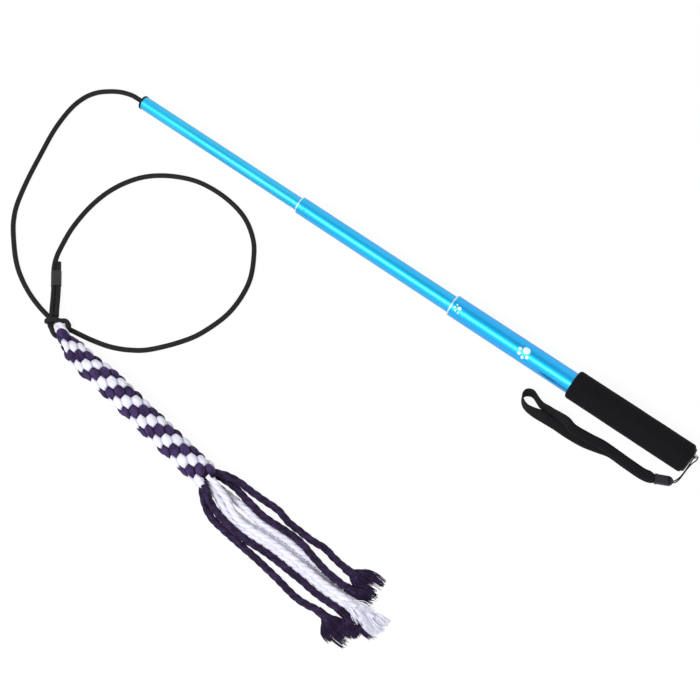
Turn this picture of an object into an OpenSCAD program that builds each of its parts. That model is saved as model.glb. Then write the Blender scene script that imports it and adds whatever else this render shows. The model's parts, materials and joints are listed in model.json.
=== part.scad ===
// Telescopic dog flirt pole, pulled out and lying on a floor with its cord, lure and wrist strap.
// Frame: origin on the pole's axis at the middle of the grip, +X to the tip, +Y to the lure, +Z up.
// The floor that the pole lies on is half a grip diameter below the origin. All sizes are in mm.

/* [Pole] */
// Outer diameter of the tip tube
tip_tube_d = 13; // [12.2:0.1:13.4]
// Wall of the middle and tip tubes
tube_wall = 0.9; // [0.8:0.05:1.1]
// Wall of the base tube
base_wall = 1.0; // [0.8:0.05:1.2]
// Radial room between one tube and the next, which the bushes fill
bush_room = 0.9; // [0.7:0.05:1.1]
// Length of the base tube, from the end cap's flange to its mouth
base_length = 245.5; // [236:0.5:270]
// Length of the middle tube outside the base tube when pulled out
middle_show = 172.7; // [168:0.1:180]
// Length of the tip tube outside the middle tube when pulled out
tip_show = 187.7; // [170:0.1:192]
// Bevel at each tube's mouth
mouth_bevel = 0.6; // [0.3:0.05:0.7]
// Distance of the punched dimple from the mouth
dimple_back = 8.5; // [5:0.5:10]
// Angle of the dimple from the top, towards the lure
dimple_turn = 36; // [0:1:90]
// Depth of the dimple
dimple_depth = 0.4; // [0.2:0.05:0.5]

/* [Bushes] */
// Length of the guide bush in each mouth
guide_length = 12; // [8:0.5:14]
// Length of the friction bush at the back of the middle tube
middle_bush_length = 28; // [20:0.5:32]
// Length of the friction bush at the back of the tip tube
tip_bush_length = 20; // [16:0.5:24]
// Running clearance of a bush, on the radius
bush_clear = 0.05; // [0.03:0.01:0.08]
// Play left at the stop when a tube is pulled right out
stop_play = 0.2; // [0.1:0.05:0.5]

/* [Grip and cap] */
// Wall of the foam grip
grip_wall = 3.6; // [3:0.1:5]
// Length of the foam grip
grip_length = 118; // [114:1:120]
// Radius of the grip's rounded edges
grip_edge = 3; // [1:0.5:3.5]
// Lip of the end cap's flange past the base tube, on the radius
cap_lip = 1.25; // [0.75:0.05:2]
// Thickness of the end cap's flange
cap_thick = 1.6; // [1.4:0.1:2.4]
// Depth of the end cap's plug in the base tube
cap_depth = 15; // [12:0.5:18]
// Wire of the strap staple
staple_wire = 1.6; // [1.2:0.1:1.8]
// Distance from the cap's face to the middle of the staple's bar
staple_reach = 2.6; // [2.4:0.1:3.2]
// Distance between the staple's two legs
staple_width = 7; // [6:0.5:8]

/* [Cord] */
// Diameter of the elastic cord
cord_d = 4.2; // [3.6:0.1:4.2]
// Clearance of the cord in the tip plug's hole, on the radius
plug_clear = 0.1; // [0.05:0.05:0.3]
// Thickness of the tip plug's flange
plug_flange = 2.1; // [0.8:0.1:2.4]
// Lip of the tip plug's flange past the tip tube, on the radius
plug_lip = 0.4; // [0:0.05:0.6]
// Depth of the tip plug in the tip tube
plug_depth = 10; // [7:0.5:12]
// Diameter of the stopper knot behind the plug
knot_d = 9; // [8:0.1:9.4]
// Length of the stopper knot
knot_length = 11; // [8:0.5:14]
// Wall of the shrink sleeve over the cord's splice
sleeve_wall = 0.4; // [0.3:0.05:0.5]
// Clearance of the two cords in the shrink sleeve
sleeve_clear = 0.2; // [0.2:0.05:0.3]
// Length of the shrink sleeve
sleeve_length = 15; // [10:1:16]

/* [Lure] */
// Diameter of the lure's braid
braid_d = 25; // [23:0.5:26]
// Length of the lure's braid
braid_length = 176; // [170:1:177]
// Length of the taper at the braid's head
braid_taper = 12; // [8:1:28]
// Diameter of one rope strand in the tail
strand_d = 6; // [5.2:0.1:6]
// Diameter of the neck that the cord's noose holds
neck_d = 10.4; // [9:0.2:10.4]
// Length of the neck, from the braid to its rounded end
neck_length = 22.6; // [20:0.2:23]
// Length of the neck's rounded end
neck_nose = 5.6; // [3:0.2:6]
// Diameter of the hitch knot
hitch_d = 8.8; // [7.6:0.2:9]

/* [Wrist strap] */
// Width of the strap's webbing
web_width = 10; // [8:0.5:10]
// Width of the webbing's narrowed ends in the clip
web_end_width = 7.2; // [6.6:0.2:7.6]
// Thickness of the webbing
web_thick = 1.2; // [0.8:0.1:1.2]
// Gap between the webbing's two runs
web_gap = 0.2; // [0.15:0.05:0.3]
// Length of the strap's clip
clip_length = 16; // [14:0.5:18]
// Wall of the clip
clip_wall = 0.8; // [0.7:0.1:1.2]
// Depth of the clip's pocket
pocket_depth = 8; // [7:0.5:9]
// Clearance of the webbing in the clip's pocket
pocket_clear = 0.2; // [0.1:0.05:0.3]
// Diameter of the strap's string
string_d = 1.1; // [0.8:0.1:1.1]

/* [Hidden] */
$fn = 72;
// Tubes
middle_tube_d = tip_tube_d + 2 * bush_room + 2 * tube_wall;
middle_bore_d = middle_tube_d - 2 * tube_wall;
base_bore_d = middle_tube_d + 2 * bush_room;
base_tube_d = base_bore_d + 2 * base_wall;
tip_bore_d = tip_tube_d - 2 * tube_wall;
grip_d = base_tube_d + 2 * grip_wall;
cap_d = base_tube_d + 2 * cap_lip;
butt_x = -grip_length / 2;
base_mouth_x = butt_x + base_length;
middle_mouth_x = base_mouth_x + middle_show;
tip_mouth_x = middle_mouth_x + tip_show;
tip_x = tip_mouth_x + plug_flange;
middle_back_x = base_mouth_x - guide_length - stop_play - middle_bush_length;
tip_back_x = middle_mouth_x - guide_length - stop_play - tip_bush_length;
cap_face_x = butt_x - cap_thick;
bar_x = cap_face_x - staple_reach;
bar_y = -5.5;
leg_depth = 4.5;
dimple_r = 2;
guide_recess = 0.3;
small_bevel = 0.5;
cap_bevel = 0.8;
// Height of the floor
floor_z = -grip_d / 2;
cord_r = cord_d / 2;

// Route of the elastic cord: x from the tip's end, y, and lift above lying on the floor
cord_route = [
    [28, 2, 7.5], [41, 8, 4], [50, 15, 1.2], [56, 27, 0], [58, 44, 0], [55, 70, 0], [47, 100, 0],
    [39, 127, 0], [30, 151, 0], [22, 165, 0], [12, 177, 0], [-7, 195, 0], [-23, 206, 0], [-43, 215, 0],
    [-64, 220.5, 0], [-82, 222, 0], [-98, 219.5, 0], [-118, 216, 0], [-136, 211, 0], [-152, 203, 0],
    [-166, 192, 0], [-183.5, 170, 0], [-194, 150, 0], [-201, 120, 0], [-197, 88, 0], [-183, 62, 0],
    [-169, 47, 0], [-150, 36, 0], [-127, 31, 0], [-104, 31, 0], [-84, 35.5, 0], [-62, 47, 0], [-45, 63, 0],
    [-33, 86, 0], [-28, 112, 0], [-27, 140, 0]];
// Start of the cord, straight out of the plug: x from the tip's end, y, and height from the pole's axis
cord_start = [[0, 0, 0], [6, 0, 0], [15, 0, -1.4]];
// The hitch knot's middle, from the tip's end, and the splice's direction away from it
hitch_at = [-81.4, 223.6];
hitch_clear = 0.4;
hitch_edge = 1.6;
hitch_low = cord_d + 0.5;
hitch_high = hitch_low + 2 * cord_d + 0.2;
splice_dir = [0.65, -0.76];
splice_side = [0.76, 0.65];
strand_gap = cord_r + 0.05;
splice_lift = sleeve_wall + sleeve_clear + 0.05;
// Along the splice: distance from the hitch and lift of the two cords
splice_run = [
    [66, 0.4], [56, splice_lift], [46, splice_lift], [36, splice_lift], [24, 3], [13, 5.9],
    [hitch_d / 2 + hitch_clear, 6.9]];
return_end = 62;
sleeve_from = 38;

// Noose round the lure's neck: along the neck, across it, and height over the floor
noose_at = [-94, 227];
noose_dir = [0.947, -0.321];
noose_side = [0.321, 0.947];
noose_turn = hitch_d / 2 + cord_r + 0.1;
noose_run = [
    [11, 0.8 + noose_turn, 9.2], [8, 7.8, 9.6], [4, 8.2, 9.6], [0.5, 8, 8.2], [-1.8, 4.8, 3.6],
    [-2.4, 0, 2.5], [-1.8, -3.8, 3.6], [-0.2, -7.8, 9], [4, -8.2, 9.6], [8, -6.8, 9.6],
    [11, 0.8 - noose_turn, 9.2]];
neck_lift = 5.4;
neck_h = neck_d / 2 + neck_lift;
neck_back = 15.5;
neck_flare = 0.8;
neck_flare_length = 9;
braid_at = [-109.6, 233.2];
braid_dir = [-0.991, 0.133];
braid_r = braid_d / 2;
braid_head_r = neck_d / 2 + neck_flare;
braid_end_round = 6;
braid_end_drop = 1.4;

// Tail strands, from the middle of the braid's end: back, across, and lift above lying on the floor
purple_1 = [
    [2.4, -6.6, 12], [12, -11.1, 9.5], [24, -13.6, 7], [36, -13.8, 4], [50, -14.4, 1.2], [65, -15, 0],
    [78, -12, 0], [90, -11.4, 0], [104, -11, 0], [117, -12, 0], [128, -10, 0], [142, -8.6, 0], [154, -9, 0]];
purple_2 = [
    [2.2, -6.6, 5], [12, -8.4, 3.2], [24, -8.6, 1.6], [36, -6.4, 1.6], [46, -4.8, 2.6], [56, -3, 3.2],
    [66, -2.8, 3.6], [76, -3.6, 3], [90, -4.4, 1.2], [102, -2.8, 3.8], [112, 0, 5.6], [122, 2.2, 6.1],
    [132, 4, 6.1], [142, 4.6, 5.6], [152, 4, 2.4], [160, 3.4, 0.4]];
purple_3 = [
    [1.8, 5.6, 14.7], [10, 11.4, 13], [18, 15.8, 9.4], [28, 19, 6], [38, 20.8, 4.6], [49, 21.8, 2.9],
    [60, 21.7, 1], [72, 20.6, 0], [82, 20.2, 0], [94, 20.4, 0], [106, 21, 0], [118, 21.4, 0], [128, 22.4, 0],
    [138, 22.8, 0], [148, 22.4, 0], [158, 22.3, 0], [166, 23.6, 0], [172, 26, 0]];
purple_4 = [
    [1.8, 8.6, 8.5], [8, 15, 6.8], [16, 20.8, 3.6], [25, 24.4, 1], [36, 25.8, 0], [46, 26.8, 0],
    [56, 27.6, 0], [66, 28.4, 0], [76, 29.2, 0], [88, 30.6, 0], [102, 32.4, 0], [114, 34.4, 0],
    [124, 35.4, 0], [133, 34.8, 0], [141, 33.4, 0], [150, 33.6, 0], [158, 36, 0]];
white_1 = [
    [1.8, -1.2, 16.3], [14, 1.6, 13.6], [26, 5, 10], [36, 10, 7.4], [47, 12.8, 5.7], [58, 12.5, 5.4],
    [70, 11.3, 5.4], [82, 10.9, 5.4], [94, 11.1, 5.4], [106, 11.7, 5.4], [118, 12.1, 5.4], [130, 12.9, 5.4],
    [142, 13.1, 5.4], [154, 12.9, 5.4], [168, 13.2, 5.4]];
white_2 = [
    [1.8, 0.6, 8.5], [12, 4.9, 7.6], [24, 10.4, 5.8], [36, 15.1, 2.2], [47, 16.4, 0], [58, 15.7, 0],
    [70, 14.4, 0], [82, 14, 0], [94, 14.2, 0], [106, 14.8, 0], [118, 15.2, 0], [130, 16, 0], [142, 16.2, 0],
    [154, 16, 0], [166, 16.4, 0], [178, 18.4, 0]];
white_3 = [
    [1.8, -1.2, 0.7], [14, -0.6, 0.1], [28, -0.2, 0], [40, 0.2, 0], [50, 1.4, 0], [60, 2.6, 0], [70, 1.9, 0],
    [82, 1.5, 0], [94, 1.7, 0], [106, 2.3, 0], [118, 2.7, 0], [128, 3.3, 0], [134, 3.8, 0]];
white_4 = [
    [1.6, 5.6, 2.3], [14, 6, 0.6], [28, 8, 0], [40, 9.5, 0], [50, 9.8, 0], [58, 9.3, 0], [70, 8.2, 0],
    [82, 7.8, 0], [94, 8, 0], [106, 8.6, 0], [118, 9, 0], [130, 9.8, 0], [142, 10, 0], [154, 9.8, 0],
    [168, 10, 0], [184, 11.4, 0]];

// Clip
clip_thick = 2 * web_thick + web_gap + 2 * pocket_clear + 2 * clip_wall;
clip_width = web_end_width + 2 * pocket_clear + 2 * clip_wall;
clip_mid = clip_thick / 2;
clip_at = [18.5, 27.5];
clip_turn = 26;
string_hole_d = 2 * string_d + 0.6;
// Heights of the webbing's two runs, flat on the floor and in the clip
low = web_thick / 2 + 0.1;
high = low + web_thick + web_gap;
low_in = clip_mid - (web_thick + web_gap) / 2;
high_in = clip_mid + (web_thick + web_gap) / 2;
// Webbing: x from the staple's bar, y and height over the floor of one edge, and the way to the other edge
web_run = [
    [11.6, 28.15, low_in, 0.44, -0.9, 0], [16.9, 30.75, low_in, 0.44, -0.9, 0],
    [21, 33.4, 1.3, 0.36, -0.93, 0], [29.7, 34.9, 0.8, 0.15, -0.99, 0], [48.2, 34.6, low, 0, -1, 0],
    [61.2, 34.2, low, 0, -1, 0], [72.2, 37, low, 0, -1, 0], [85.2, 40, low, 0, -1, 0],
    [100.2, 41.1, low, 0, -1, 0], [113.2, 41, low, 0.02, -1, 0.03], [120.2, 41.4, low, 0.05, -0.99, 0.1],
    [125.2, 41.7, low, 0.1, -0.93, 0.35], [130.2, 41.9, low, 0.15, -0.76, 0.63],
    [135.2, 41.9, low, 0.2, -0.52, 0.83], [141.2, 41.2, low, 0.22, -0.32, 0.93],
    [146.2, 39.4, low, 0.22, -0.32, 0.93], [149.7, 36.2, low, 0.22, -0.32, 0.93],
    [150.8, 32.6, low, 0.22, -0.32, 0.93], [149.6, 29.4, low, 0.22, -0.32, 0.93],
    [146.8, 27.4, low, 0.22, -0.32, 0.93], [143.2, 27, low, 0.22, -0.32, 0.93],
    [139.2, 28.7, low, 0.22, -0.32, 0.93], [134.2, 31, low, 0.22, -0.34, 0.92],
    [129.7, 31.8, low, 0.22, -0.34, 0.92], [125.2, 31.3, low, 0.22, -0.34, 0.92],
    [120.2, 32, 2.3, 0.2, -0.36, 0.91], [113.2, 33, high, 0.15, -0.6, 0.78],
    [106.2, 34.4, high, 0.08, -0.87, 0.48], [99.2, 36.2, high, 0, -1, 0.05],
    [85.2, 35.2, high, 0, -1, 0], [72.2, 33.6, high, 0, -1, 0], [61.2, 33.7, high, 0, -1, 0],
    [48.2, 34.2, high, 0, -1, 0], [29.7, 34.5, 2.2, 0.15, -0.99, 0], [21, 33, 2.6, 0.36, -0.93, 0],
    [16.9, 30.65, high_in, 0.44, -0.9, 0], [11.6, 28.05, high_in, 0.44, -0.9, 0]];
bend_r = staple_wire / 2 + string_d / 2 + 0.15;
string_leg = 2.2;
// String: from the clip's hole round the staple's bar and back; x from the bar, y,
// and rise from the clip's middle, as 0, to the pole's axis, as 1
string_run = [
    [7.1, 21.3, 0], [4.4, 19.8, 0], [2.8, 17.4, 0.05], [1.7, 14, 0.15], [1.2, 10, 0.31], [1.1, 5.5, 0.53],
    [1.3, 0, 0.8], [bend_r, bar_y + string_leg, 0.97], [bend_r, bar_y, 1],
    [0.7 * bend_r, bar_y - 0.7 * bend_r, 1], [0, bar_y - bend_r, 1], [-0.7 * bend_r, bar_y - 0.7 * bend_r, 1],
    [-bend_r, bar_y, 1], [-bend_r, bar_y + string_leg, 0.93], [-0.2, 0, 0.7], [0.6, 5.5, 0.41],
    [0.8, 10.2, 0.19], [1, 14.4, 0.05], [1.8, 18.3, 0], [3.4, 20.9, 0], [6.5, 22.4, 0]];

blue = [0.08, 0.52, 0.85];
black = [0.1, 0.1, 0.11];
purple = [0.22, 0.14, 0.34];
white = [0.92, 0.92, 0.96];
steel = [0.7, 0.7, 0.72];
nylon = [0.86, 0.86, 0.84];

function unit(v) = v / norm(v);
// Point at t on the smooth curve from b to c, with a before and d after
function curve(a, b, c, d, t) =
    0.5 * (2 * b + (c - a) * t + (2 * a - 5 * b + 4 * c - d) * t * t + (3 * b - a - 3 * c + d) * t * t * t);
function smooth(p, n) = concat(
    [for (i = [0 : len(p) - 2], k = [0 : n - 1])
        curve(p[max(i - 1, 0)], p[i], p[i + 1], p[min(i + 2, len(p) - 1)], k / n)],
    [p[len(p) - 1]]);
function along(p, i) = unit(p[min(i + 1, len(p) - 1)] - p[max(i - 1, 0)]);
function round_ring(c, t, r, s) =
    let (u = unit(cross(t, [0, 0, 1])), v = cross(t, u))
    [for (k = [0 : s - 1]) c + r * (cos(360 * k / s) * u + sin(360 * k / s) * v)];
function flat_ring(e, t, w, h) =
    let (n = unit(cross(t, w)) * h / 2)
    [e - n, e + w - n, e + w + n, e + n];

// Skin over rings of s points each
module skin(rings) {
    s = len(rings[0]);
    m = len(rings);
    polyhedron(
        points = [for (r = rings, p = r) p],
        faces = concat(
            [[for (k = [0 : s - 1]) k]],
            [[for (k = [0 : s - 1]) m * s - 1 - k]],
            [for (i = [0 : m - 2], k = [0 : s - 1])
                [i * s + k, (i + 1) * s + k, (i + 1) * s + (k + 1) % s]],
            [for (i = [0 : m - 2], k = [0 : s - 1])
                [i * s + k, (i + 1) * s + (k + 1) % s, i * s + (k + 1) % s]]));
}

module round_sweep(p, d, s) {
    skin([for (i = [0 : len(p) - 1]) round_ring(p[i], along(p, i), d / 2, s)]);
}

// Solid of revolution about +X from x = at, with its profile as [x, r] points
module turned(at, profile) {
    translate([at, 0, 0])
        rotate([0, 90, 0])
            rotate_extrude()
                polygon([for (q = profile) [q[1], q[0]]]);
}

// Tube along +X with a bevel on its mouth and a punched dimple that holds the guide bush
module pole_tube(from, to, outer, bore) {
    difference() {
        turned(from, [[0, bore / 2], [0, outer / 2], [to - from - mouth_bevel, outer / 2],
            [to - from, outer / 2 - mouth_bevel], [to - from, bore / 2]]);
        rotate([-dimple_turn, 0, 0])
            translate([to - dimple_back, 0, outer / 2 + dimple_r - dimple_depth])
                sphere(r = dimple_r, $fn = 32);
    }
}

module base_tube() {
    color(blue) pole_tube(butt_x, base_mouth_x, base_tube_d, base_bore_d);
}

// Guide bush held in a mouth, which the next tube runs through
module guide(mouth, outer, bore) {
    long = guide_length - guide_recess;
    turned(mouth - guide_length, [[0, bore / 2], [0, outer / 2], [long, outer / 2], [long, bore / 2]]);
}

module base_guide() {
    color(nylon) guide(base_mouth_x, base_bore_d, middle_tube_d + 2 * bush_clear);
}

module grip() {
    color(black)
        turned(butt_x, concat(
            [[0, base_tube_d / 2]],
            [for (a = [0 : 15 : 90]) [grip_edge * (1 - cos(a)), grip_d / 2 - grip_edge * (1 - sin(a))]],
            [for (a = [90 : -15 : 0])
                [grip_length - grip_edge * (1 - cos(a)), grip_d / 2 - grip_edge * (1 - sin(a))]],
            [[grip_length, base_tube_d / 2]]));
}

module end_cap() {
    color(black)
        difference() {
            turned(cap_face_x, [[0, 0], [0, cap_d / 2 - cap_bevel], [cap_bevel, cap_d / 2],
                [cap_thick, cap_d / 2], [cap_thick, base_bore_d / 2],
                [cap_thick + cap_depth, base_bore_d / 2], [cap_thick + cap_depth, 0]]);
            for (side = [-1, 1])
                translate([cap_face_x - 1, bar_y, side * staple_width / 2])
                    rotate([0, 90, 0])
                        cylinder(d = staple_wire, h = leg_depth + 1);
        }
}

module staple() {
    color(steel) {
        translate([bar_x, bar_y, -staple_width / 2])
            cylinder(d = staple_wire, h = staple_width);
        for (side = [-1, 1])
            translate([bar_x, bar_y, side * staple_width / 2]) {
                sphere(d = staple_wire);
                rotate([0, 90, 0])
                    cylinder(d = staple_wire, h = staple_reach + leg_depth);
            }
    }
}

module middle_tube() {
    color(blue) pole_tube(middle_back_x, middle_mouth_x, middle_tube_d, middle_bore_d);
}

module middle_guide() {
    color(nylon) guide(middle_mouth_x, middle_bore_d, tip_tube_d + 2 * bush_clear);
}

// Friction bush on the back of a tube, which runs in the next larger tube
module back_bush(back, long, outer, bore) {
    turned(back, [[0, bore / 2], [0, outer / 2 - small_bevel], [small_bevel, outer / 2], [long, outer / 2],
        [long, bore / 2]]);
}

module middle_bush() {
    color(nylon) back_bush(middle_back_x, middle_bush_length, base_bore_d - 2 * bush_clear, middle_tube_d);
}

module tip_tube() {
    long = tip_mouth_x - tip_back_x;
    color(blue)
        turned(tip_back_x, [[0, tip_bore_d / 2], [0, tip_tube_d / 2], [long, tip_tube_d / 2],
            [long, tip_bore_d / 2]]);
}

module tip_bush() {
    color(nylon) back_bush(tip_back_x, tip_bush_length, middle_bore_d - 2 * bush_clear, tip_tube_d);
}

module tip_plug() {
    hole = cord_r + plug_clear;
    flange_r = tip_tube_d / 2 + plug_lip;
    color(black)
        turned(tip_mouth_x - plug_depth, [[0, hole], [0, tip_bore_d / 2], [plug_depth, tip_bore_d / 2],
            [plug_depth, flange_r], [plug_depth + plug_flange - small_bevel, flange_r],
            [plug_depth + plug_flange, flange_r - small_bevel], [plug_depth + plug_flange, hole]]);
}

module stopper_knot() {
    color(black)
        turned(tip_mouth_x - plug_depth - knot_length, concat(
            [[0, 0]],
            [for (a = [15 : 15 : 165]) [knot_length / 2 * (1 - cos(a)), knot_d / 2 * sin(a)]],
            [[knot_length, 0]]));
}

// One of the two cords in the splice; side is 1 for the cord from the tip and -1 for its returned end
function splice_point(q, side) = [
    tip_x + hitch_at[0] + q[0] * splice_dir[0] + side * strand_gap * splice_side[0],
    hitch_at[1] + q[0] * splice_dir[1] + side * strand_gap * splice_side[1],
    floor_z + cord_r + q[1]];

module pull_cord() {
    start = concat(
        [[tip_mouth_x - plug_depth, 0, 0], [tip_mouth_x - plug_depth / 2, 0, 0]],
        [for (q = cord_start) [tip_x + q[0], q[1], q[2]]]);
    lying = [for (q = cord_route) [tip_x + q[0], q[1], floor_z + cord_r + q[2]]];
    spliced = [for (q = splice_run) splice_point(q, 1)];
    color(black) round_sweep(concat(start, smooth(concat(lying, spliced), 2)), cord_d, 10);
}

module return_cord() {
    run = [for (i = [1 : len(splice_run) - 1]) splice_point(splice_run[i], -1)];
    stub = [splice_point([return_end, splice_lift], -1)];
    color(black) round_sweep(smooth(concat(stub, run), 2), cord_d, 10);
}

module oval(across, r) {
    translate([across, 0]) circle(r = r, $fn = 32);
    translate([-across, 0]) circle(r = r, $fn = 32);
    square([2 * across, 2 * r], center = true);
}

module splice_sleeve() {
    inner = cord_r + sleeve_clear;
    c = splice_point([sleeve_from, splice_lift], 0);
    color(black)
        translate(c)
            rotate([0, 0, atan2(splice_dir[1], splice_dir[0])])
                rotate([90, 0, 90])
                    linear_extrude(sleeve_length)
                        difference() {
                            oval(strand_gap, inner + sleeve_wall);
                            oval(strand_gap, inner);
                        }
}

module hitch_knot() {
    inner = hitch_d / 2 - hitch_edge;
    color(black)
        translate([tip_x + hitch_at[0], hitch_at[1], floor_z])
            rotate_extrude()
                polygon(concat(
                    [[0, hitch_low]],
                    [for (a = [0 : 30 : 90])
                        [inner + hitch_edge * sin(a), hitch_low + hitch_edge * (1 - cos(a))]],
                    [for (a = [90 : -30 : 0])
                        [inner + hitch_edge * sin(a), hitch_high - hitch_edge * (1 - cos(a))]],
                    [[0, hitch_high]]));
}

module noose() {
    p = [for (q = noose_run) [
        tip_x + noose_at[0] + q[0] * noose_dir[0] + q[1] * noose_side[0],
        noose_at[1] + q[0] * noose_dir[1] + q[1] * noose_side[1],
        floor_z + q[2]]];
    color(black) round_sweep(smooth(p, 3), cord_d, 10);
}

module lure_neck() {
    r = neck_d / 2;
    nose_x = neck_length - neck_nose;
    color(white)
        translate([tip_x + noose_at[0], noose_at[1], floor_z + neck_h])
            rotate([0, 0, atan2(noose_dir[1], noose_dir[0])])
                turned(-neck_back, concat(
                    [[0, 0], [0, r + neck_flare], [neck_flare_length, r]],
                    [for (a = [0 : 30 : 60]) [nose_x + neck_nose * sin(a), r * cos(a)]],
                    [[neck_length, 0]]));
}

module lure_braid() {
    color(purple)
        translate([tip_x + braid_at[0], braid_at[1], floor_z + braid_r])
            rotate([0, 0, atan2(braid_dir[1], braid_dir[0])])
                turned(0, concat(
                    [[0, 0]],
                    [for (t = [0 : 0.25 : 1])
                        [t * braid_taper, braid_head_r + (braid_r - braid_head_r) * sin(90 * t)]],
                    [[braid_length - braid_end_round, braid_r], [braid_length, braid_r - braid_end_drop],
                        [braid_length, 0]]));
}

// Tail strand lying behind the braid
module tail(run) {
    end = braid_at + braid_length * braid_dir;
    p = [for (q = run) [tip_x + end[0] - q[0], end[1] + q[1], floor_z + strand_d / 2 + q[2]]];
    round_sweep(smooth(p, 2), strand_d, 10);
}

module tail_purple_1() { color(purple) tail(purple_1); }
module tail_purple_2() { color(purple) tail(purple_2); }
module tail_purple_3() { color(purple) tail(purple_3); }
module tail_purple_4() { color(purple) tail(purple_4); }
module tail_white_1() { color(white) tail(white_1); }
module tail_white_2() { color(white) tail(white_2); }
module tail_white_3() { color(white) tail(white_3); }
module tail_white_4() { color(white) tail(white_4); }

module strap_string() {
    clip_z = floor_z + clip_mid;
    p = [for (q = string_run) [bar_x + q[0], q[1], clip_z * (1 - q[2])]];
    color(black) round_sweep(smooth(p, 2), string_d, 8);
}

module strap_clip() {
    body = clip_length - clip_width / 2;
    pocket_w = web_end_width + 2 * pocket_clear;
    pocket_h = 2 * web_thick + web_gap + 2 * pocket_clear;
    color(black)
        translate([bar_x + clip_at[0], clip_at[1], floor_z])
            rotate([0, 0, clip_turn])
                difference() {
                    union() {
                        translate([-body, -clip_width / 2, 0])
                            cube([body, clip_width, clip_thick]);
                        translate([-body, 0, 0])
                            cylinder(d = clip_width, h = clip_thick);
                    }
                    translate([-pocket_depth, -pocket_w / 2, clip_mid - pocket_h / 2])
                        cube([pocket_depth + 1, pocket_w, pocket_h]);
                    translate([-clip_length - 1, 0, clip_mid])
                        rotate([0, 90, 0])
                            cylinder(d = string_hole_d, h = clip_length - pocket_depth, $fn = 32);
                }
}

module strap_webbing() {
    e = [for (q = web_run) [bar_x + q[0], q[1], floor_z + q[2]]];
    last = len(e) - 1;
    across = [for (q = web_run) unit([q[3], q[4], q[5]])];
    wide = [for (i = [0 : last]) i < 2 || i > last - 2 ? web_end_width : web_width];
    color(black) skin([for (i = [0 : last]) flat_ring(e[i], along(e, i), wide[i] * across[i], web_thick)]);
}

base_tube();
base_guide();
grip();
end_cap();
staple();
middle_tube();
middle_guide();
middle_bush();
tip_tube();
tip_bush();
tip_plug();
stopper_knot();
pull_cord();
return_cord();
splice_sleeve();
hitch_knot();
noose();
lure_neck();
lure_braid();
tail_purple_1();
tail_purple_2();
tail_purple_3();
tail_purple_4();
tail_white_1();
tail_white_2();
tail_white_3();
tail_white_4();
strap_string();
strap_clip();
strap_webbing();
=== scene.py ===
# %% [markdown]
# # A telescopic dog flirt pole
# Three blue tubes slide into each other, a foam grip closes one end, and an elastic cord runs from the
# tip to a braided rope lure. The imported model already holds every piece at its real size, so this lesson
# dresses it: hard pieces keep their solids and get a finish, and everything soft is modelled anew.

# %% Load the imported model
import json
import math
import random

import bpy
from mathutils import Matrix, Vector, noise


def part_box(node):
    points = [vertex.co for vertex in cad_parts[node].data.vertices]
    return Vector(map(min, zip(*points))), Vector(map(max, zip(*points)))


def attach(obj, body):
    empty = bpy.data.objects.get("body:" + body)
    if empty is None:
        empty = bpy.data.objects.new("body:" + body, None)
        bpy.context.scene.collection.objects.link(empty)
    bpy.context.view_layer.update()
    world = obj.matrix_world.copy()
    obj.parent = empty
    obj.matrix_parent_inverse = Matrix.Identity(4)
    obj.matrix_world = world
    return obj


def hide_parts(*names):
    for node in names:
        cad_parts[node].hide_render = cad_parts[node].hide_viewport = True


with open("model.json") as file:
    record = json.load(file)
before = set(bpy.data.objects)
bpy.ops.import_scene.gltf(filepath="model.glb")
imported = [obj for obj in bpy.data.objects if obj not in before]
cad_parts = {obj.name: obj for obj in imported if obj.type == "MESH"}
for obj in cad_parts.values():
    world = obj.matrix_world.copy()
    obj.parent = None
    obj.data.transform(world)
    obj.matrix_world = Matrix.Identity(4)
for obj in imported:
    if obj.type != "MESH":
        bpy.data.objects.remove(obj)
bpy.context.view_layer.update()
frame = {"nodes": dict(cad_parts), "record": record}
nodes = frame["nodes"]
MM = 0.001
floor_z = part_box("grip")[0].z
print("nodes:", len(nodes), "floor at", round(floor_z / MM, 2), "mm")

# %% [markdown]
# ## The camera
# A camera is found from a picture by fitting what is known. The tubes' widths and the ellipses of their
# mouths give a view down at 68 degrees from about 1.1 m, with the pole running to the upper left.

# %% Camera
camera_data = bpy.data.cameras.new("camera")
camera_data.lens = 64.29
camera_data.sensor_width = 36
camera = bpy.data.objects.new("camera", camera_data)
camera.location = Vector((-10.7, 425.4, 1029.3)) * MM
camera_aim = Vector((238.45, 85.5, -13.8)) * MM
camera.rotation_euler = (camera_aim - camera.location).to_track_quat("-Z", "Y").to_euler()
bpy.context.scene.collection.objects.link(camera)
bpy.context.scene.camera = camera
print("camera looks down at", round(math.degrees(camera.rotation_euler.x), 1), "degrees from straight down")

# %% [markdown]
# ## Colours and nodes
# Shader sockets take linear light, but colours are easiest to read as sRGB hex values, so one function
# turns them over. A second one turns a pattern's spacing in millimetres into a texture's scale, and a third
# adds a node, sets it and links it, which keeps each finish short.

# %% Colour and node helpers
def linear(colour):
    parts = [int(colour[i:i + 2], 16) / 255 for i in (1, 3, 5)]
    return [c / 12.92 if c <= 0.04045 else ((c + 0.055) / 1.055) ** 2.4 for c in parts] + [1.0]


def per_metre(spacing_mm):
    return 1 / (spacing_mm * MM)


def add(tree, kind, inputs=None, **settings):
    node = tree.nodes.new(kind)
    for key, value in settings.items():
        setattr(node, key, value)
    for key, value in (inputs or {}).items():
        if isinstance(value, bpy.types.NodeSocket):
            tree.links.new(value, node.inputs[key])
        else:
            node.inputs[key].default_value = value
    return node


def start_finish(name):
    material = bpy.data.materials.new(name)
    material.use_nodes = True
    material.node_tree.nodes.clear()
    return material, material.node_tree


def end_finish(tree, **inputs):
    sockets = {key.replace("_", " "): value for key, value in inputs.items()}
    shader = add(tree, "ShaderNodeBsdfPrincipled", sockets)
    add(tree, "ShaderNodeOutputMaterial", {"Surface": shader.outputs[0]})


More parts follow.
